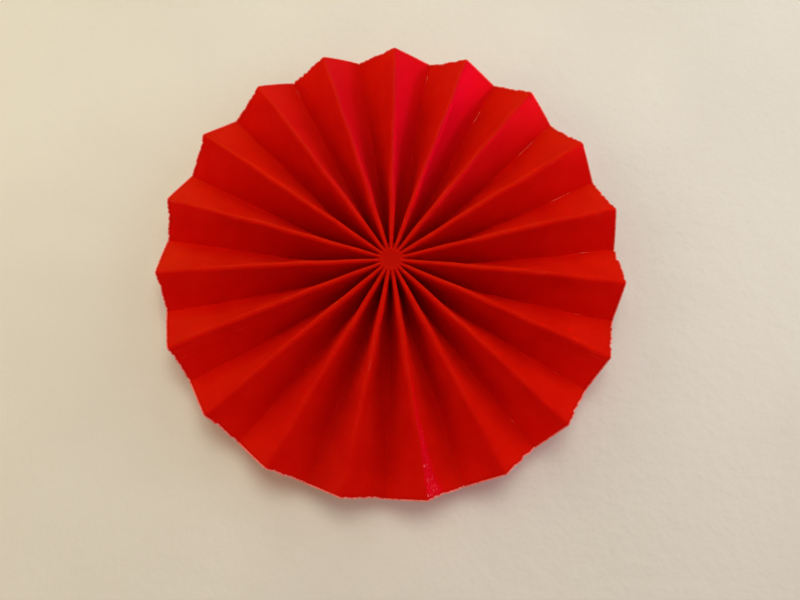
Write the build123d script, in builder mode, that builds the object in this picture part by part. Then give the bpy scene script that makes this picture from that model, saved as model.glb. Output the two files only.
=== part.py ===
from build123d import *
from math import acos, cos, pi, sin, sqrt, tan
import os

# Paper fan rosette: one strip folded to and fro, closed into a ring and laid flat.
# Millimetres. The axis is +Z with the front up, the origin is on the axis at the back of the hub,
# and one ridge points along +Y.

# The folded strip
pleats = 19
outer_radius = 100.0
rim_fold_depth = 9.4
rim_lift = 7.5
paper_thickness = 0.25
inner_bend_radius = 0.3

# The glued lap that closes the ring: the strip's last panel lies on the back of its first one
lap_pleat = 9
lap_inset = 0.3
lap_clearance = 0.23

# The glue that closes the centre
plug_clearance = 0.05
plug_recess = 0.15
plug_dish = 0.35

# How finely the twisted paper is divided into flat facets: along a panel, and across half a fold
steps_along = 10
steps_in_half_fold = 2

# The crease is a bend of the paper's middle layer, with the paper's two faces either side of it
bend_radius = inner_bend_radius + paper_thickness / 2
outer_bend_radius = inner_bend_radius + paper_thickness
half_angle = pi / pleats

# The strip's inner edge lies where the gathered folds leave just the room that the lap needs
fold_gap = paper_thickness + lap_clearance
hub_radius = (outer_bend_radius + fold_gap / 2) / tan(half_angle)

# A panel keeps its width from the hub to the rim, where it spans one ridge and one valley
rim_chord = 2 * outer_radius * sin(half_angle / 2)
panel_width = sqrt(rim_chord**2 + rim_fold_depth**2)


def panel_slope(x):
    """Slope of a panel at distance x from the axis, so that bends and straight add up to its width."""
    half_pitch = x * tan(half_angle)
    slope = pi / 2
    for _ in range(20):
        straight = panel_width - 2 * bend_radius * slope
        slope = acos((half_pitch - 2 * bend_radius * sin(slope)) / straight)
    return slope


def fold_depth(x):
    """Height of the ridges over the valleys, in the paper's middle layer."""
    slope = panel_slope(x)
    straight = panel_width - 2 * bend_radius * slope
    return 2 * bend_radius * (1 - cos(slope)) + straight * sin(slope)


def middle_height(x):
    """Height halfway between ridge and valley: the rim is lifted, so the rosette is a shallow dish."""
    hub_middle = (fold_depth(hub_radius) + paper_thickness) / 2
    return hub_middle + rim_lift * (x - hub_radius) / (outer_radius - hub_radius)


def ridge_height(x):
    return middle_height(x) + fold_depth(x) / 2


def valley_height(x):
    return middle_height(x) - fold_depth(x) / 2


# Ridges and valleys are creases of one length, so the steeper valleys end a little nearer the axis
ridge_rise = ridge_height(outer_radius) - ridge_height(hub_radius)
valley_rise = valley_height(outer_radius) - valley_height(hub_radius)
crease_reach = sqrt((outer_radius - hub_radius) ** 2 + ridge_rise**2 - valley_rise**2)
valley_tip_radius = hub_radius + crease_reach
rim_slant = (outer_radius - valley_tip_radius * cos(half_angle)) / (valley_tip_radius * sin(half_angle))


def half_profile(x, side, lapped):
    """Points (y, z) of one face of the paper from a ridge to its valley, with side +1 front and -1 back."""
    slope = panel_slope(x)
    at_ridge = bend_radius + side * paper_thickness / 2
    at_valley = bend_radius - side * paper_thickness / 2
    turns = [slope * i / steps_in_half_fold for i in range(steps_in_half_fold + 1)]
    ridge_centre = ridge_height(x) - bend_radius
    valley_centre = valley_height(x) + bend_radius
    half_pitch = x * tan(half_angle)
    ridge = [(at_ridge * sin(turn), ridge_centre + at_ridge * cos(turn)) for turn in turns]
    valley = [(half_pitch - at_valley * sin(turn), valley_centre - at_valley * cos(turn)) for turn in turns]
    lap = []
    if lapped:
        along = (cos(slope) * lap_inset, -sin(slope) * lap_inset)
        proud = (-sin(slope) * paper_thickness, -cos(slope) * paper_thickness)
        start = (ridge[-1][0] + along[0], ridge[-1][1] + along[1])
        end = (valley[-1][0] - along[0], valley[-1][1] - along[1])
        lap = [
            start,
            (start[0] + proud[0], start[1] + proud[1]),
            (end[0] + proud[0], end[1] + proud[1]),
            end,
        ]
    return ridge + lap + valley[::-1]


def crease_line(index, side, lapped):
    """One line of points from the hub to the cut rim, which runs straight from each tip to the valley."""
    rim_x = outer_radius
    for _ in range(8):
        rim_x = outer_radius - rim_slant * half_profile(rim_x, side, lapped)[index][0]
    line = []
    for step in range(steps_along + 1):
        x = hub_radius + (rim_x - hub_radius) * step / steps_along
        y, z = half_profile(x, side, lapped)[index]
        line.append(Vector(x, y, z))
    return line


def facet(*corners):
    return Face(Wire.make_polygon(corners, close=True))


def half_pleat(lapped):
    """Both faces of the paper from a ridge to its valley, and its cut edges at the hub and the rim."""
    front_lines = range(len(half_profile(outer_radius, 1, False)))
    back_lines = range(len(half_profile(outer_radius, -1, lapped)))
    front = [crease_line(index, 1, False) for index in front_lines]
    back = [crease_line(index, -1, lapped) for index in back_lines]
    faces = []
    for lines in (front, back):
        for near, far in zip(lines, lines[1:]):
            for step in range(steps_along):
                faces.append(facet(near[step], near[step + 1], far[step + 1]))
                faces.append(facet(near[step], far[step + 1], far[step]))
    for step in (0, steps_along):
        edge = [line[step] for line in front] + [line[step] for line in reversed(back)]
        faces.append(facet(*edge))
    return faces


# The whole strip: a pleat is a pair of mirrored halves, and each joins the next one at a valley
plain_half = half_pleat(lapped=False)
plain_pleat = plain_half + [face.mirror(Plane.XZ) for face in plain_half]
lapped_pleat = plain_half + [face.mirror(Plane.XZ) for face in half_pleat(lapped=True)]
strip = []
for number, place in enumerate(PolarLocations(0, pleats, start_angle=90)):
    strip += [place * face for face in (lapped_pleat if number == lap_pleat else plain_pleat)]
with BuildPart() as pleated_paper:
    add(Solid(Shell(strip)))

# The glue fills the gathered centre, flat at the back and slightly sunk at the front
plug_radius = hub_radius - plug_clearance
plug_height = ridge_height(hub_radius) + paper_thickness / 2 - plug_recess
dish_radius = (plug_radius**2 + plug_dish**2) / (2 * plug_dish)
with BuildPart() as glue_plug:
    with BuildSketch():
        Circle(plug_radius)
    extrude(amount=plug_height)
    with Locations((0, 0, plug_height - plug_dish + dish_radius)):
        Sphere(dish_radius, mode=Mode.SUBTRACT)

pleated_paper.part.label = "pleated_paper"
glue_plug.part.label = "glue_plug"
os.makedirs("parts", exist_ok=True)
export_step(pleated_paper.part, "parts/pleated_paper.step", write_pcurves=False)
export_step(glue_plug.part, "parts/glue_plug.step")
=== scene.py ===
import math

import bpy
import numpy as np
from mathutils import Matrix, Quaternion, Vector


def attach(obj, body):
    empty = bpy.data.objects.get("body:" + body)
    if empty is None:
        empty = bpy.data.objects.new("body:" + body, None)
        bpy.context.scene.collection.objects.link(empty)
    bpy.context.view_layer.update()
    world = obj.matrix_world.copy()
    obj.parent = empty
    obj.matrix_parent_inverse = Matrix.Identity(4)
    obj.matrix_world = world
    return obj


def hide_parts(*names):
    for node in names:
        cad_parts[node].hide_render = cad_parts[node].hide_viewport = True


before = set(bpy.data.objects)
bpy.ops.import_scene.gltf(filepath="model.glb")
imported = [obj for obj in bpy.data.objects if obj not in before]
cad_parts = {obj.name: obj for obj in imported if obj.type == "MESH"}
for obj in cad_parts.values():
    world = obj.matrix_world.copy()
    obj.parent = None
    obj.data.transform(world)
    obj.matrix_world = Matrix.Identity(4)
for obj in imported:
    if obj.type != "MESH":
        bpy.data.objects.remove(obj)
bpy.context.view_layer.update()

# The visual model of the paper fan rosette. Lengths are worked out in millimetres, in the part's
# own frame: the axis is +Z, the front faces up and the first ridge points along +Y.
# Pleats are counted clockwise from the top, as seen from the front, and the top one is 0.
MM = 0.001
random = np.random.default_rng(19)

# The folded strip, as the part's source has it
PLEATS = 19
OUTER_RADIUS = 100.0
RIM_FOLD_DEPTH = 9.4
RIM_LIFT = 7.5
PAPER = 0.25
HUB_BEND = 0.3 + PAPER / 2
FOLD_GAP = PAPER + 0.23
SLOPE_STEPS = 20
RIM_STEPS = 8
HALF_ANGLE = math.pi / PLEATS
HUB_RADIUS = (HUB_BEND + PAPER / 2 + FOLD_GAP / 2) / math.tan(HALF_ANGLE)
PANEL = math.hypot(2 * OUTER_RADIUS * math.sin(HALF_ANGLE / 2), RIM_FOLD_DEPTH)
LAP_PLEAT = 10
LAP_INSET = 0.3
LAP_GLUE = 0.01

# Away from the hub the ridges are bent softly and the valleys creased hard
RIM_RIDGE_BEND = 1.8
CREASED_BEND = 0.2
CREASED_FROM = 0.12

# How finely the sheet is divided. The panel that runs anticlockwise from a ridge has the ragged cut,
# so it has more columns than the other. The last row is a narrow one along the cut.
ROWS = 38
LAST_ROW = 0.016
RAGGED_COLUMNS = 40
STRAIGHT_COLUMNS = 10
RIDGE_COLUMNS = 4
VALLEY_COLUMNS = 2
RIDGE, LEG, VALLEY = 0, 1, 2
SHEET_SHARP_ANGLE = 50

# How far each ridge and valley strays from its even place at the rim: degrees clockwise, and
# millimetres outwards. The first ridge is the top one, and the first valley is the one after it.
RIDGE_TURN = np.array([-0.2, 0.1, 0.2, 0.4, 0.5, 0.5, 0.6, 0.5, 0, -0.1, 0.4, 0.1, 0, -0.3, -0.2, -0.2,
                       -0.1, 0, -0.2])
RIDGE_REACH = np.array([0.2, 0.1, 0.2, 0, 0, 0, 0.1, 0, 0.1, 0, -0.3, -0.4, -0.3, -0.4, -0.4, 0.1, 0.6,
                        0.3, 0.3])
VALLEY_TURN = np.array([-0.2, -0.5, -0.4, 0, -0.1, -0.1, -0.3, -0.4, -0.1, -0.1, 0.5, 0.4, 0.6, 0.5, 0.3,
                        -0.3, -0.2, -0.5, -0.5])

# The creases and panels also wander along their length: the wavelengths and the most that each adds.
# Each wave has a random share of that size, and the wander grows from nothing at the hub.
BULGE_WAVES = ((70.0, 31.0), 0.3)
LIFT_WAVES = ((120.0, 43.0), 0.2)
SWAY_WAVES = ((57.0, 23.0), 0.16)
WAVE_SHARE = (0.5, 1.0)
WAVES_GROWN_BY = 25.0

# The ragged cut: a fine roughness, then saw teeth, then a few deeper nicks. Pairs are the least and
# the most of a random size, and a tooth's run is how far it takes to slope back out.
CUT_ROUGHNESS = 0.06
FIRST_TOOTH = (0.5, 2.0)
TOOTH_SPACING = (1.3, 3.2)
TOOTH_DEPTH = (0.15, 0.55)
TOOTH_RUN = (0.9, 2.2)
TOOTH_STEP = 0.45
NICK_COUNT = (2, 4)
NICK_PLACE = (2, 13)
NICK_DEPTH = (0.5, 0.95)
NICK_RUN = (2.0, 4.5)

# Where the coating has cracked white along a valley: the valley's number, and the stretch as shares
# of the radius. It fades over a further share of the radius at either end.
CRACKS = [
    (0, 0.893, 0.935), (1, 0.785, 0.85), (2, 0.79, 0.865), (2, 0.93, 0.945), (3, 0.775, 0.87),
    (4, 0.84, 0.865), (5, 0.82, 0.84), (6, 0.825, 0.845), (7, 0.83, 0.855), (17, 0.915, 0.95),
]
CRACK_WIDTH = 0.8
CRACK_FADE = 0.01

# A painted sheen streak beside a ridge, standing in for a highlight: the ridge's number, the side (+1
# clockwise,
# -1 anticlockwise), the stretch as shares of the radius, how far down the panel it reaches at either end,
# and its strength.
# It widens with a power of the way along, fades in over a share of the stretch and out over as much
# beyond it, starts at a share of its strength, and keeps it for part of the way down to its edge.
SHEEN_STREAKS = [
    (9, -1, 0.46, 1.0, 2.2, 15.0, 1.0),
    (10, -1, 0.08, 0.28, 0.5, 0.7, 0.7),
    (1, 1, 0.10, 0.42, 0.5, 0.9, 0.75),
]
STREAK_WIDENS = 3
STREAK_FADE = 0.15
STREAK_FIRST = 0.55
STREAK_EDGE = 1.6

# A painted sheen: the panels, clockwise of these ridges, whose red is painted a little pinker to stand in
# for reflected light, and by how much. It fades in between two radii, and down the panel to a share of that.
SHEEN_TINT = {17: 0.3, 18: 0.7, 0: 0.9, 1: 1.0, 2: 0.35}
SHEEN_TINT_FROM, SHEEN_TINT_FULL = 15, 40
SHEEN_TINT_AT_VALLEY = 0.25

# The glue at the centre: a dish, fingers that run down between the folds, and a post down to the back
GLUE_RADIUS = HUB_RADIUS - 0.05
GLUE_DISH = 0.3
GLUE_BELOW_FOLDS = 0.05

# A finger between two folds: its length, how far it runs down over that length, the curve of that run,
# how far inside the hub's edge it starts, and how far below the tops of the folds
GLUE_FINGER = 3.6
GLUE_RUN = 3.2
GLUE_RUN_CURVE = 1.3
GLUE_RUN_FROM = 0.1
GLUE_GAP_DROP = 0.12

# The film over a fold: its height, how far it sinks and over what distance, and how steeply it falls
# beside the fold. From the first distance inside the hub's edge, and over the second, the dish ends
# and the film and the fingers begin.
GLUE_FILM = 0.03
GLUE_FILM_SINKS, GLUE_FILM_END = 0.1, 0.7
GLUE_SIDE_SLOPE = 6
GLUE_BLEND = (0.5, 0.65)

# The post: how far below the tops of the folds it begins, the bevel of its foot, and how deep its back
# is hollowed, up to which radius
GLUE_COLLAR = 2.4
GLUE_FOOT = 0.25
GLUE_BACK_HOLLOW, GLUE_BACK_RING = 0.05, 1.5

# How finely the glue is divided: spokes, and rings as first radius, last radius and count
GLUE_SPOKES = 16 * PLEATS
GLUE_RINGS = [(0.4, 4.0, 10), (4.2, 5.4, 13), (5.6, HUB_RADIUS + GLUE_FINGER, 10)]
GLUE_SHARP_ANGLE = 60


# The paper's form

def opened(x):
    """From 0 at the hub to 1 at the rim."""
    return np.maximum(x - HUB_RADIUS, 0) / (OUTER_RADIUS - HUB_RADIUS)


def ridge_bend(x):
    return HUB_BEND + (RIM_RIDGE_BEND - HUB_BEND) * np.sqrt(opened(x))


def valley_bend(x):
    return HUB_BEND + (CREASED_BEND - HUB_BEND) * np.clip(opened(x) / CREASED_FROM, 0, 1)


def panel_slope(x):
    """Slope of a panel at distance x from the axis, with its bends and straight adding up to its width."""
    pitch = x * math.tan(HALF_ANGLE)
    bends = ridge_bend(x) + valley_bend(x)
    slope = np.full_like(x, math.pi / 2)
    for _ in range(SLOPE_STEPS):
        slope = np.arccos((pitch - bends * np.sin(slope)) / (PANEL - bends * slope))
    return slope


def fold_depth(x):
    slope = panel_slope(x)
    bends = ridge_bend(x) + valley_bend(x)
    return bends * (1 - np.cos(slope)) + (PANEL - bends * slope) * np.sin(slope)


def middle_height(x):
    hub_middle = (fold_depth(np.array([HUB_RADIUS]))[0] + PAPER) / 2
    return hub_middle + RIM_LIFT * opened(x)


def ridge_height(x):
    return middle_height(x) + fold_depth(x) / 2


def valley_height(x):
    return middle_height(x) - fold_depth(x) / 2


def rim_slant():
    """How far the cut rim falls back for each millimetre sideways from a ridge."""
    ends = np.array([HUB_RADIUS, OUTER_RADIUS])
    ridge_rise = np.diff(ridge_height(ends))[0]
    valley_rise = np.diff(valley_height(ends))[0]
    reach = math.sqrt((OUTER_RADIUS - HUB_RADIUS) ** 2 + ridge_rise**2 - valley_rise**2)
    valley_end = HUB_RADIUS + reach
    return (OUTER_RADIUS - valley_end * math.cos(HALF_ANGLE)) / (valley_end * math.sin(HALF_ANGLE))


def paper_profile(x, part, share, offset):
    """Distance sideways from the ridge, and height, at an offset from the paper's middle layer."""
    slope = panel_slope(x)
    at_ridge = ridge_bend(x) + offset
    at_valley = valley_bend(x) - offset
    ridge_turn = slope * np.where(part == RIDGE, share, 1.0)
    valley_turn = slope * np.where(part == VALLEY, share, 1.0)
    across = np.where(part == LEG, share, np.where(part == VALLEY, 1.0, 0.0))
    ridge_y = at_ridge * np.sin(ridge_turn)
    ridge_z = ridge_height(x) - ridge_bend(x) + at_ridge * np.cos(ridge_turn)
    valley_y = x * math.tan(HALF_ANGLE) - at_valley * np.sin(valley_turn)
    valley_z = valley_height(x) + valley_bend(x) - at_valley * np.cos(valley_turn)
    return ridge_y + (valley_y - ridge_y) * across, ridge_z + (valley_z - ridge_z) * across, across, slope


class Columns:
    """Columns of points that run from the hub to the rim, in clockwise order."""

    def __init__(self, points):
        values = [np.array(column) for column in zip(*points)]
        self.pleat, self.side, self.part, self.share, self.flat, self.fold = values
        self.valley = (self.pleat - (self.side < 0)) % PLEATS
        self.short = np.zeros(len(points))


def half_pleat(pleat, side, leg_columns):
    """From a ridge to its valley. The last two values are the distance along the flat strip, and the
    distance from the ridge."""
    middle = (2 * pleat + 1) * PANEL
    points = []
    for i in range(RIDGE_COLUMNS):
        share = i / RIDGE_COLUMNS
        points.append((RIDGE, share, share * HUB_BEND))
    for i in range(leg_columns + 1):
        share = i / leg_columns
        points.append((LEG, share, HUB_BEND + share * (PANEL - 2 * HUB_BEND)))
    for i in range(VALLEY_COLUMNS):
        share = 1 - (i + 1) / VALLEY_COLUMNS
        points.append((VALLEY, share, PANEL - share * HUB_BEND))
    return [(pleat, side, part, share, middle + side * flat, flat) for part, share, flat in points]


def whole_strip():
    points = []
    for pleat in range(PLEATS):
        points += half_pleat(pleat, -1, RAGGED_COLUMNS)[::-1][:-1]
        points += half_pleat(pleat, 1, STRAIGHT_COLUMNS)[:-1]
    columns = Columns(points)
    columns.short = ragged_cut(columns)
    return columns


def lap_strip():
    """The strip's last panel, which lies on the back of its first one."""
    points = []
    for _, _, part, share, flat, fold in half_pleat(LAP_PLEAT, 1, STRAIGHT_COLUMNS):
        if part == LEG:
            share = min(max(share, LAP_INSET / PANEL), 1 - LAP_INSET / PANEL)
            points.append((LAP_PLEAT, 1, part, share, flat, fold))
    return Columns(points)


def ragged_cut(columns):
    """How far the cut of each column falls short of the straight line, from saw teeth and a few deeper
    nicks along each anticlockwise panel."""
    short = np.zeros(len(columns.pleat))
    ragged = (columns.side < 0) & (columns.part == LEG)
    for pleat in range(PLEATS):
        mine = ragged & (columns.pleat == pleat)
        along = columns.fold[mine]
        cut = CUT_ROUGHNESS * random.uniform(0, 1, along.size)
        place = random.uniform(*FIRST_TOOTH)
        while place < PANEL:
            depth, run = random.uniform(*TOOTH_DEPTH), random.uniform(*TOOTH_RUN)
            cut = np.maximum(cut, tooth(along, place, depth, run))
            place += random.uniform(*TOOTH_SPACING)
        for _ in range(random.integers(*NICK_COUNT)):
            place = random.uniform(*NICK_PLACE)
            depth, run = random.uniform(*NICK_DEPTH), random.uniform(*NICK_RUN)
            cut = np.maximum(cut, tooth(along, place, depth, run))
        short[mine] = cut
    return short


def tooth(along, place, depth, run):
    """One saw tooth of the cut: a step in, then a slope back out."""
    past = along - place
    return depth * np.clip(np.where(past < 0, 1 + past / TOOTH_STEP, 1 - past / run), 0, 1)


class Waves:
    """A smooth wander of its own for each of several creases or panels, as a function of the radius."""

    def __init__(self, count, lengths, size):
        self.lengths = lengths
        self.phases = random.uniform(0, 2 * math.pi, (count, len(lengths)))
        self.sizes = size * random.uniform(*WAVE_SHARE, (count, len(lengths)))

    def at(self, index, x):
        total = np.zeros(np.broadcast(index, x).shape)
        for j, length in enumerate(self.lengths):
            total += self.sizes[index, j] * np.sin(2 * math.pi * x / length + self.phases[index, j])
        return total * np.clip((x - HUB_RADIUS) / WAVES_GROWN_BY, 0, 1)


panel_bulge = Waves(2 * PLEATS, *BULGE_WAVES)
ridge_lift = Waves(PLEATS, *LIFT_WAVES)
valley_lift = Waves(PLEATS, *LIFT_WAVES)
ridge_sway = Waves(PLEATS, *SWAY_WAVES)
valley_sway = Waves(PLEATS, *SWAY_WAVES)


def sheet_points(columns, offset):
    """The points of one layer of the paper, as rows from the hub to the rim, and their distances x."""
    part, share, pleat, valley = columns.part, columns.share, columns.pleat, columns.valley
    slant = rim_slant()
    rim = np.full((1, len(pleat)), OUTER_RADIUS)
    for _ in range(RIM_STEPS):
        rim = OUTER_RADIUS - slant * paper_profile(rim, part, share, offset)[0]
    rim = rim - columns.short
    steps = np.append(np.linspace(0, 1 - LAST_ROW, ROWS), 1.0)[:, None]
    x = HUB_RADIUS + steps * (rim - HUB_RADIUS)
    y, z, across, slope = paper_profile(x, part, share, offset)
    bulge = panel_bulge.at(2 * pleat + (columns.side > 0), x) * np.sin(math.pi * across)
    y = y + bulge * np.sin(slope)
    z = z + bulge * np.cos(slope)
    z = z + (1 - across) * ridge_lift.at(pleat, x) + across * valley_lift.at(valley, x)
    turn = (1 - across) * RIDGE_TURN[pleat] + across * VALLEY_TURN[valley]
    sway = (1 - across) * ridge_sway.at(pleat, x) + across * valley_sway.at(valley, x)
    angle = math.pi / 2 - 2 * HALF_ANGLE * pleat - np.radians(turn) * opened(x)
    along = x + (1 - across) * RIDGE_REACH[pleat] * opened(x) ** 2
    sideways = sway - columns.side * y
    right = along * np.cos(angle) - sideways * np.sin(angle)
    up = along * np.sin(angle) + sideways * np.cos(angle)
    return np.stack([right, up, z], axis=-1), x


def layered_sheet(columns, front_offset, back_offset, closed):
    """Points, faces and per-point values of a strip with a front, a back and its cut edges."""
    front, front_x = sheet_points(columns, front_offset)
    back, back_x = sheet_points(columns, back_offset)
    points = np.concatenate([front, back[::-1]])
    x = np.concatenate([front_x, back_x[::-1]])
    rows, count = x.shape
    index = np.arange(rows * count).reshape(rows, count)
    ring = np.concatenate([index, index[:1]])
    if closed:
        ring = np.concatenate([ring, ring[:, :1]], axis=1)
    faces = np.stack([ring[:-1, :-1], ring[1:, :-1], ring[1:, 1:], ring[:-1, 1:]], axis=-1)
    cut = np.zeros(faces.shape[:2], dtype=int)
    cut[ROWS] = 1
    cut[-1] = 1
    faces = faces.reshape(-1, 4)
    cut = cut.reshape(-1)
    if not closed:
        for column, order in ((0, 1), (-1, -1)):
            near = index[:ROWS + 1, column]
            far = index[ROWS + 1:, column][::-1]
            side = np.stack([near[:-1], near[1:], far[1:], far[:-1]], axis=-1)[:, ::order]
            faces = np.concatenate([faces, side])
            cut = np.concatenate([cut, np.ones(len(side), dtype=int)])
    values = {
        "flat": np.broadcast_to(columns.flat, x.shape),
        "radius": x,
        "to_rim": np.concatenate([front_x[-1] - front_x, (back_x[-1] - back_x)[::-1]]),
        "crack": on_front(crack_places(columns, x)),
        # Painted sheen: highlight streaks beside ridges, and a pinker tint on a few panels
        "painted_sheen": on_front(sheen_streak_places(columns, x)),
        "painted_sheen_tint": on_front(painted_sheen_tint_places(columns, x)),
    }
    return points.reshape(-1, 3), faces, cut, {name: value.reshape(-1) for name, value in values.items()}


def on_front(values):
    """The same values on the front's rows, and none on the back's."""
    values[ROWS + 1:] = 0
    return values


def crack_places(columns, x):
    share = x / OUTER_RADIUS
    crack = np.zeros(x.shape)
    for valley, low, high in CRACKS:
        starts = np.clip((share - low) / CRACK_FADE + 1, 0, 1)
        ends = np.clip((high - share) / CRACK_FADE + 1, 0, 1)
        across = np.clip(1 - (PANEL - columns.fold) / CRACK_WIDTH, 0, 1) * (columns.valley == valley)
        crack = np.maximum(crack, starts * ends * across)
    return crack


# Where the painted sheen streaks lie, standing in for highlights beside ridges
def sheen_streak_places(columns, x):
    share = x / OUTER_RADIUS
    painted_sheen = np.zeros(x.shape)
    for pleat, side, low, high, narrow, wide, strength in SHEEN_STREAKS:
        along = (share - low) / (high - low)
        grown = np.clip(along, 0, 1)
        reach = narrow + (wide - narrow) * grown**STREAK_WIDENS
        starts = np.clip(along / STREAK_FADE, 0, 1)
        ends = np.clip((1 + STREAK_FADE - along) / STREAK_FADE, 0, 1)
        power = strength * (STREAK_FIRST + (1 - STREAK_FIRST) * grown) * starts * ends
        across = np.clip(STREAK_EDGE - STREAK_EDGE * columns.fold / reach, 0, 1)
        mine = (columns.pleat == pleat) & (columns.side == side)
        painted_sheen = np.maximum(painted_sheen, power * across * mine)
    return painted_sheen


# Where the painted sheen tint lies: a pinker red that stands in for light reflected from a few panels
def painted_sheen_tint_places(columns, x):
    by_pleat = np.array([SHEEN_TINT.get(pleat, 0.0) for pleat in range(PLEATS)])
    across = 1 - (1 - SHEEN_TINT_AT_VALLEY) * columns.fold / PANEL
    outwards = np.clip((x - SHEEN_TINT_FROM) / (SHEEN_TINT_FULL - SHEEN_TINT_FROM), 0, 1)
    return by_pleat[columns.pleat] * (columns.side > 0) * across * outwards


def make_object(name, points, faces, sharp_angle):
    """A smooth object, creased where faces meet at more than the sharp angle."""
    mesh = bpy.data.meshes.new(name)
    mesh.from_pydata((points * MM).tolist(), [], faces)
    mesh.polygons.foreach_set("use_smooth", [True] * len(mesh.polygons))
    mesh.set_sharp_from_angle(angle=math.radians(sharp_angle))
    mesh.update()
    made = bpy.data.objects.new(name, mesh)
    bpy.context.scene.collection.objects.link(made)
    return made


def make_sheet():
    """The whole strip closed into a ring, with its glued lap, and the maps that its material reads."""
    strip = layered_sheet(whole_strip(), PAPER / 2, -PAPER / 2, closed=True)
    lap = layered_sheet(lap_strip(), -PAPER / 2 - LAP_GLUE, -PAPER * 1.5, closed=False)
    points = np.concatenate([strip[0], lap[0]])
    faces = np.concatenate([strip[1], lap[1] + len(strip[0])])
    made = make_object("pleated_sheet", points, faces.tolist(), SHEET_SHARP_ANGLE)
    mesh = made.data
    mesh.polygons.foreach_set("material_index", np.concatenate([strip[2], lap[2]]).astype(np.int32))
    values = {name: np.concatenate([strip[3][name], lap[3][name]]) for name in strip[3]}
    # These maps include the painted sheen streaks and the painted sheen tint
    for name in ("to_rim", "crack", "painted_sheen", "painted_sheen_tint"):
        mesh.attributes.new(name, "FLOAT", "POINT").data.foreach_set("value", values[name])

    # The strip laid out flat, in metres: along its length, and from the hub's edge to the rim's
    corners = faces.reshape(-1)
    across = values["flat"][corners].reshape(-1, 4)
    whole = 2 * PLEATS * PANEL
    wraps = np.ptp(across, axis=1) > whole / 2
    across[wraps] = np.where(across[wraps] < whole / 2, across[wraps] + whole, across[wraps])
    flat_map = np.stack([across.reshape(-1), values["radius"][corners]], axis=1) * MM
    mesh.uv_layers.new(name="flat_strip").data.foreach_set("uv", flat_map.reshape(-1))
    return made


def glue_front(angle, r, top):
    """Height of the glue's front: a dish inside, and outside it the higher of a film over the folds and
    the fingers between them."""
    from_ridge = (angle - math.pi / 2 + HALF_ANGLE) % (2 * HALF_ANGLE) - HALF_ANGLE
    sideways = np.abs(r * np.sin(from_ridge))
    fold = HUB_BEND + PAPER / 2
    round_fold = fold - np.sqrt(np.maximum(fold**2 - sideways**2, 0))
    drop = round_fold + GLUE_SIDE_SLOPE * np.maximum(sideways - fold, 0)
    past = r - HUB_RADIUS
    over_fold = ridge_height(np.maximum(r, HUB_RADIUS)) + PAPER / 2 - drop
    over_fold = over_fold + GLUE_FILM - GLUE_FILM_SINKS * np.clip(past / GLUE_FILM_END, 0, 1)
    run = np.clip((past + GLUE_RUN_FROM) / GLUE_FINGER, 0, 1) ** GLUE_RUN_CURVE
    in_gap = top - GLUE_GAP_DROP - GLUE_RUN * run
    dish = top - GLUE_BELOW_FOLDS - GLUE_DISH * (1 - np.clip(r / HUB_RADIUS, 0, 1) ** 2)
    before, length = GLUE_BLEND
    mix = np.clip((past + before) / length, 0, 1)
    mix = mix * mix * (3 - 2 * mix)
    return dish + (np.maximum(over_fold, in_gap) - dish) * mix


def make_glue():
    """The glue that closes the centre: a shallow dish whose edge runs out in short fingers between the
    folds, on a post that is flat at the back."""
    angle = math.pi / 2 + 2 * math.pi * np.arange(GLUE_SPOKES) / GLUE_SPOKES
    radii = np.concatenate([np.linspace(*rings) for rings in GLUE_RINGS])
    top = ridge_height(np.array([HUB_RADIUS]))[0] + PAPER / 2
    surface = glue_front(angle, radii[:, None], top)
    rings = list(zip(radii, surface))
    post = [
        (GLUE_RADIUS, top - GLUE_COLLAR),
        (GLUE_RADIUS, GLUE_FOOT),
        (GLUE_RADIUS - GLUE_FOOT, 0.0),
        (GLUE_BACK_RING, GLUE_BACK_HOLLOW),
    ]
    rings += [(radius, np.full(GLUE_SPOKES, height)) for radius, height in post]
    points = [np.stack([radius * np.cos(angle), radius * np.sin(angle), height], axis=-1)
              for radius, height in rings]
    centres = np.array([[0, 0, surface[0].mean()], [0, 0, GLUE_BACK_HOLLOW]])
    points = np.concatenate(points + [centres])
    index = np.arange(len(rings) * GLUE_SPOKES).reshape(len(rings), GLUE_SPOKES)
    index = np.concatenate([index, index[:, :1]], axis=1)
    quads = np.stack([index[:-1, :-1], index[1:, :-1], index[1:, 1:], index[:-1, 1:]], axis=-1)
    faces = quads.reshape(-1, 4).tolist()
    front, back = len(points) - 2, len(points) - 1
    for i in range(GLUE_SPOKES):
        faces.append([front, int(index[0, i]), int(index[0, i + 1])])
        faces.append([back, int(index[-1, i + 1]), int(index[-1, i])])
    return make_object("glue_disc", points, faces, GLUE_SHARP_ANGLE)


# The materials

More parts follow.
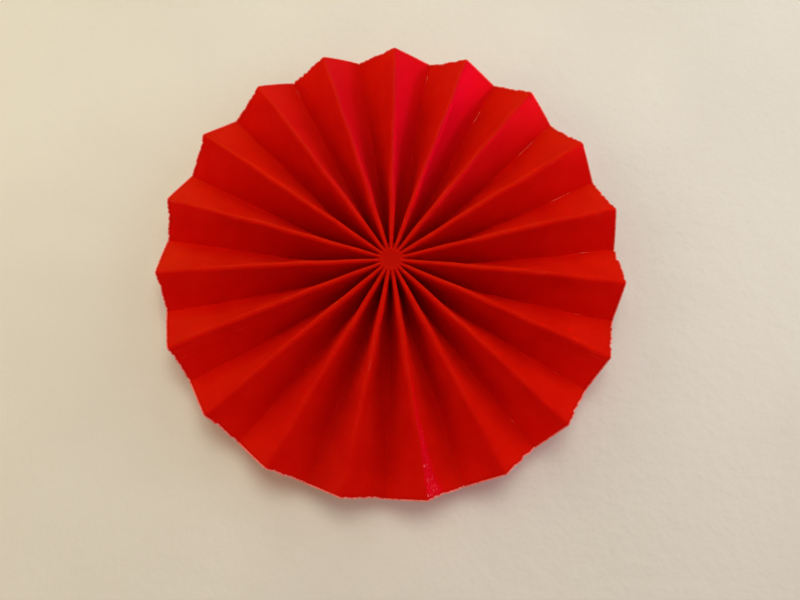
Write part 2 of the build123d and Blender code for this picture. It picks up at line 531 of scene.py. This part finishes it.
class Material:
    """A node material, with short ways to add and join nodes."""

    def __init__(self, name):
        self.made = bpy.data.materials.new(name)
        self.made.use_nodes = True
        self.tree = self.made.node_tree
        self.shader = self.tree.nodes["Principled BSDF"]

    def set(self, **values):
        for name, value in values.items():
            self.shader.inputs[name.replace("_", " ")].default_value = value

    def node(self, kind, links=None, **settings):
        made = self.tree.nodes.new(kind)
        for name, value in settings.items():
            setattr(made, name, value)
        for name, value in (links or {}).items():
            self.fill(made.inputs[name], value)
        return made

    def fill(self, socket, value):
        """Links a socket to another one, or sets its value."""
        if isinstance(value, bpy.types.NodeSocket):
            self.tree.links.new(value, socket)
        else:
            socket.default_value = value

    def join(self, source, name):
        self.tree.links.new(source, self.shader.inputs[name])

    def attribute(self, name):
        return self.node("ShaderNodeAttribute", attribute_name=name).outputs["Fac"]

    def object_place(self):
        return self.node("ShaderNodeTexCoord").outputs["Object"]

    def math(self, operation, a, b):
        return self.node("ShaderNodeMath", {0: a, 1: b}, operation=operation).outputs[0]

    def plus(self, a, b):
        return self.math("ADD", a, b)

    def times(self, a, b):
        return self.math("MULTIPLY", a, b)

    def noise(self, vector, scale, detail, rough=0.5):
        links = {"Vector": vector, "Scale": scale, "Detail": detail, "Roughness": rough}
        return self.node("ShaderNodeTexNoise", links).outputs["Fac"]

    def stretched(self, vector, x, y):
        return self.node("ShaderNodeMapping", {"Vector": vector, "Scale": (x, y, 1.0)}).outputs[0]

    def ramp(self, value, zero_at, one_at):
        """From 0 to 1, smooth in between."""
        links = {"Value": value, "From Min": zero_at, "From Max": one_at}
        return self.node("ShaderNodeMapRange", links, interpolation_type="SMOOTHSTEP").outputs[0]

    def spots(self, place, noise, weight, zero_at, one_at):
        """The peaks of a noise, which spread where place is high."""
        return self.ramp(self.plus(self.times(place, weight), noise), zero_at, one_at)

    def mix(self, share, a, b):
        made = self.node("ShaderNodeMix", {0: share}, data_type="RGBA")
        self.fill(made.inputs[6], a)
        self.fill(made.inputs[7], b)
        return made.outputs[2]

    def let_light_through(self, share, colour):
        """Each face of the paper sends this share of its light on to the other side."""
        through = self.node("ShaderNodeBsdfTranslucent", {"Color": colour})
        both = self.node("ShaderNodeMixShader", {0: share, 1: self.shader.outputs[0], 2: through.outputs[0]})
        self.tree.links.new(both.outputs[0], self.tree.nodes["Material Output"].inputs["Surface"])

    def rough(self, noise, least, spread):
        self.join(self.plus(self.times(noise, spread), least), "Roughness")

    def bump(self, height, distance, strength=1.0):
        links = {"Height": height, "Distance": distance, "Strength": strength}
        self.join(self.node("ShaderNodeBump", links).outputs[0], "Normal")


RED = (0.86, 0.0065, 0.0010, 1)
LIGHTER_RED = (0.875, 0.0078, 0.0012, 1)
DEEPER_RED = (0.845, 0.0053, 0.0008, 1)
# A pinker red for the painted sheen tint
SHEEN_TINT_RED = (0.86, 0.0012, 0.0160, 1)
RIM_RED = (0.66, 0.004, 0.001, 1)
WORN_EDGE = (1.0, 0.22, 0.165, 1)
SCUFF = (0.95, 0.05, 0.035, 1)
# The painted sheen streak: its red, its pink, and its pale painted sparkles
SHEEN_STREAK_RED = (0.96, 0.0015, 0.001, 1)
SHEEN_STREAK_PINK = (0.96, 0.0015, 0.017, 1)
SHEEN_SPARKLE = (0.97, 0.20, 0.22, 1)
CRACKED = (1.0, 0.38, 0.29, 1)
PAPER_CORE = (0.98, 0.45, 0.36, 1)
GLUE_RED = (0.57, 0.0035, 0.0004, 1)
DEEPER_GLUE = (0.49, 0.0025, 0.0003, 1)
WALL_TONES = (0.80, 0.715, 0.575, 1), (0.84, 0.755, 0.61, 1)

# The share of the light that each face of the paper sends through, and how much of that worn paper stops
THROUGH_PAPER = 0.5
WORN_STOPS = 0.8

# How strongly the scuffs and the line inside the cut tint the paper, and how high the fine grains of the
# paper and the glue stand beside the softer unevenness
SCUFF_SHARE = 0.5
RIM_SHARE = 0.5
GRAIN_HEIGHT = 0.12
FINE_HEIGHT = 0.2


def red_paper():
    """The paper. Its noises are in millimetres on the flat strip, across the panels and along them."""
    paper = Material("red_paper")
    flat = paper.node("ShaderNodeUVMap", uv_map="flat_strip").outputs[0]
    flat_mm = paper.stretched(flat, x=1 / MM, y=1 / MM)
    mottle = paper.ramp(paper.noise(flat_mm, scale=0.09, detail=3), zero_at=0.35, one_at=0.65)
    colour = paper.mix(mottle, DEEPER_RED, LIGHTER_RED)
    # Painted sheen: a few panels are tinted pinker, standing in for reflected light
    colour = paper.mix(paper.attribute("painted_sheen_tint"), colour, SHEEN_TINT_RED)

    # Long faint scuffs that run along the panels, in patches
    streak = paper.noise(paper.stretched(flat_mm, x=1.6, y=0.09), scale=1.0, detail=3, rough=0.6)
    streak = paper.ramp(streak, zero_at=0.61, one_at=0.71)
    patch = paper.ramp(paper.noise(flat_mm, scale=0.035, detail=1), zero_at=0.5, one_at=0.62)
    scuff = paper.times(paper.times(streak, patch), SCUFF_SHARE)
    colour = paper.mix(scuff, colour, SCUFF)

    # Painted sheen: a pink highlight with pale painted sparkles beside a few ridges
    place = paper.attribute("painted_sheen")
    sheen_noise = paper.noise(paper.stretched(flat_mm, x=1.3, y=0.3), scale=1.0, detail=3, rough=0.6)
    painted_sheen = paper.spots(place, sheen_noise, weight=0.6, zero_at=0.7, one_at=1.05)
    sheen_colour = paper.mix(paper.ramp(place, zero_at=0.5, one_at=0.85), SHEEN_STREAK_RED, SHEEN_STREAK_PINK)
    colour = paper.mix(painted_sheen, colour, sheen_colour)
    sparkle_noise = paper.noise(paper.stretched(flat_mm, x=3.0, y=0.7), scale=1.0, detail=2)
    sparkles = paper.spots(place, sparkle_noise, weight=0.45, zero_at=1.02, one_at=1.12)
    colour = paper.mix(sparkles, colour, SHEEN_SPARKLE)

    # Flecks where the coating has cracked along a fold
    fleck = paper.noise(paper.stretched(flat_mm, x=2.2, y=0.7), scale=1.0, detail=2, rough=0.6)
    crack = paper.spots(paper.attribute("crack"), fleck, weight=0.8, zero_at=0.97, one_at=1.07)
    colour = paper.mix(crack, colour, CRACKED)

    # The colour is a little deeper in a thin line inside the cut, and worn paler at the cut itself
    to_rim = paper.attribute("to_rim")
    rim = paper.ramp(to_rim, zero_at=1.5, one_at=0.9)
    colour = paper.mix(paper.times(rim, RIM_SHARE), colour, RIM_RED)
    wear = paper.ramp(paper.noise(flat_mm, scale=0.8, detail=2), zero_at=0.2, one_at=0.55)
    edge = paper.times(paper.ramp(to_rim, zero_at=0.7, one_at=0.3), wear)
    colour = paper.mix(edge, colour, WORN_EDGE)
    paper.join(colour, "Base Color")
    worn = paper.times(paper.math("MAXIMUM", edge, crack), WORN_STOPS * THROUGH_PAPER)
    paper.let_light_through(paper.math("SUBTRACT", THROUGH_PAPER, worn), colour)

    # A fine satin grain over soft unevenness
    grain = paper.noise(flat_mm, scale=1.7, detail=3, rough=0.6)
    soft = paper.noise(flat_mm, scale=0.16, detail=1)
    paper.rough(grain, least=0.52, spread=0.16)
    paper.bump(paper.plus(paper.times(grain, GRAIN_HEIGHT), soft), distance=0.09 * MM)
    paper.set(IOR=1.17)
    return paper.made


def cut_edge():
    edge = Material("cut_edge")
    fibre = edge.noise(edge.object_place(), scale=1800.0, detail=3)
    edge.join(edge.mix(edge.ramp(fibre, zero_at=0.2, one_at=0.6), RED, PAPER_CORE), "Base Color")
    edge.bump(fibre, distance=0.03 * MM)
    edge.set(Roughness=0.75)
    return edge.made


def red_glue():
    glue = Material("red_glue")
    place = glue.object_place()
    cloud = glue.noise(place, scale=420.0, detail=2)
    flattened = {0: place, 1: (1.0, 1.0, 0.0)}
    radial = glue.node("ShaderNodeVectorMath", flattened, operation="MULTIPLY").outputs[0]
    radius = glue.node("ShaderNodeVectorMath", {0: radial}, operation="LENGTH").outputs["Value"]
    towards_rim = glue.ramp(radius, zero_at=0.55 * HUB_RADIUS * MM, one_at=1.05 * HUB_RADIUS * MM)
    glue.join(glue.mix(glue.times(towards_rim, cloud), DEEPER_GLUE, GLUE_RED), "Base Color")
    fine = glue.noise(place, scale=1500.0, detail=3)
    glue.rough(fine, least=0.4, spread=0.15)
    glue.bump(glue.plus(cloud, glue.times(fine, FINE_HEIGHT)), distance=0.06 * MM)
    glue.set(IOR=1.08)
    return glue.made


def pale_wall():
    wall = Material("pale_wall")
    place = wall.object_place()
    tone = wall.ramp(wall.noise(place, scale=9.0, detail=2), zero_at=0.3, one_at=0.7)
    wall.join(wall.mix(tone, *WALL_TONES), "Base Color")
    stipple = wall.noise(place, scale=110.0, detail=3, rough=0.55)
    wall.bump(stipple, distance=0.5 * MM, strength=0.8)
    wall.set(Roughness=0.85, Specular_IOR_Level=0.0)
    return wall.made


sheet = make_sheet()
sheet.data.materials.append(red_paper())
sheet.data.materials.append(cut_edge())
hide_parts("pleated_paper")
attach(sheet, "root")

glue = make_glue()
glue.data.materials.append(red_glue())
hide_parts("glue_plug")
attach(glue, "root")

# The wall that it lies on, in metres from its middle to an edge
WALL = 3.0
floor_mesh = bpy.data.meshes.new("floor")
floor_corners = [(-WALL, -WALL, 0), (WALL, -WALL, 0), (WALL, WALL, 0), (-WALL, WALL, 0)]
floor_mesh.from_pydata(floor_corners, [], [(0, 1, 2, 3)])
floor = bpy.data.objects.new("floor", floor_mesh)
bpy.context.scene.collection.objects.link(floor)
floor_mesh.materials.append(pale_wall())

# The camera, where the photograph was taken from: a little below the axis, and turned a little
CAMERA_PLACE = Vector((4.0, -71.1, 266.6)) * MM
CAMERA_TARGET = Vector((4.3, -17.7, 18.0)) * MM
CAMERA_ROLL = math.radians(1.09)
CAMERA_LENS, CAMERA_SENSOR = 27.0, 36.0
CAMERA_NEAREST = 0.01
camera_data = bpy.data.cameras.new("camera")
camera_data.sensor_width = CAMERA_SENSOR
camera_data.lens = CAMERA_LENS
camera_data.clip_start = CAMERA_NEAREST
camera = bpy.data.objects.new("camera", camera_data)
bpy.context.scene.collection.objects.link(camera)
forward = (CAMERA_TARGET - CAMERA_PLACE).normalized()
right = forward.cross(Vector((0, 1, 0))).normalized()
right = Quaternion(forward, -CAMERA_ROLL) @ right
facing = Matrix((right, right.cross(forward), -forward)).transposed().to_4x4()
camera.matrix_world = Matrix.Translation(CAMERA_PLACE) @ facing
bpy.context.scene.camera = camera


def soft_light(name, azimuth, elevation, distance, size, power, colour):
    """A round lamp that faces the object, from an azimuth counted anticlockwise from +X."""
    data = bpy.data.lights.new(name, "AREA")
    data.shape = "DISK"
    data.size = size
    data.energy = power
    data.color = colour
    light = bpy.data.objects.new(name, data)
    around, up = math.radians(azimuth), math.radians(elevation)
    towards = Vector((math.cos(around) * math.cos(up), math.sin(around) * math.cos(up), math.sin(up)))
    light.location = towards * distance
    light.rotation_euler = towards.to_track_quat("Z", "Y").to_euler()
    light.visible_glossy = False
    bpy.context.scene.collection.objects.link(light)
    return light


def glint(name, azimuth, elevation, distance, size, power, colour, target, spread):
    """A lamp that shows only in the satin of the paper, as a beam onto a target."""
    light = soft_light(name, azimuth, elevation, distance, size, power, colour)
    light.visible_glossy = True
    light.visible_diffuse = False
    light.data.spread = math.radians(spread)
    away = light.location - Vector(target) * MM
    light.rotation_euler = away.to_track_quat("Z", "Y").to_euler()


# Each lamp's name, azimuth and elevation in degrees, distance and size in metres, power in watts and
# colour. A glint also has the point that it is aimed at, in millimetres, and its spread in degrees.
NEAR, SOFT, SMALL = 0.7, 0.35, 0.12
WARM, WHITE, COOL = (1.0, 1.03, 0.70), (1.0, 1.12, 1.07), (1.0, 1.14, 1.36)
SOFT_LIGHTS = [
    ("top", 72, 70, NEAR, SOFT, 1.72, WHITE),
    ("top_left", 110, 60, NEAR, SOFT, 0.42, WHITE),
    ("right_low", 0, 12, NEAR, SOFT, 1.34, COOL),
    ("right_far", 0, 30, 1.5, 0.6, 1.8, COOL),
    ("upper_right", 30, 25, NEAR, SOFT, 0.50, COOL),
    ("above", 90, 30, NEAR, SOFT, 0.11, WHITE),
    ("above_low", 120, 12, NEAR, SOFT, 0.44, WARM),
    ("upper_left", 150, 30, NEAR, SOFT, 0.24, WARM),
    ("left", 180, 30, NEAR, SOFT, 0.68, WARM),
    ("left_low", 180, 12, NEAR, SOFT, 0.66, WARM),
    ("lower_left", 240, 30, NEAR, SOFT, 0.33, WARM),
]
GLINTS = [
    ("window", 14, 20, NEAR, SMALL, 0.85, (1.0, 0.0, 0.03), (34, 80, 20), 14),
    ("warm_right", 70, 22, NEAR, SMALL, 0.08, (1.0, 0.06, 0.0), (85, -8, 15), 14),
    ("warm_left", 125, 22, NEAR, SMALL, 0.025, (0.3, 1.0, 0.0), (-80, -5, 15), 18),
    ("high_glow", 92, 38, 1.2, 0.9, 15.0, (0.25, 1.0, 0.0), (0, 0, 0), 180),
]
for lamp in SOFT_LIGHTS:
    soft_light(*lamp)
for lamp in GLINTS:
    glint(*lamp)

# An even surround, rosy from the paper's own glow, and dimmer where the satin paper mirrors it
SURROUND = (1.0, 0.54, 0.70, 1)
SURROUND_STRENGTH = 0.18
MIRRORED_STRENGTH = 0.03
world = bpy.data.worlds.new("world")
bpy.context.scene.world = world
world.use_nodes = True
surround = world.node_tree.nodes["Background"]
surround.inputs["Color"].default_value = SURROUND
ray = world.node_tree.nodes.new("ShaderNodeLightPath")
strength = world.node_tree.nodes.new("ShaderNodeMapRange")
strength.inputs["To Min"].default_value = SURROUND_STRENGTH
strength.inputs["To Max"].default_value = MIRRORED_STRENGTH
world.node_tree.links.new(ray.outputs["Is Glossy Ray"], strength.inputs["Value"])
world.node_tree.links.new(strength.outputs[0], surround.inputs["Strength"])

bpy.context.scene.view_settings.view_transform = "Standard"
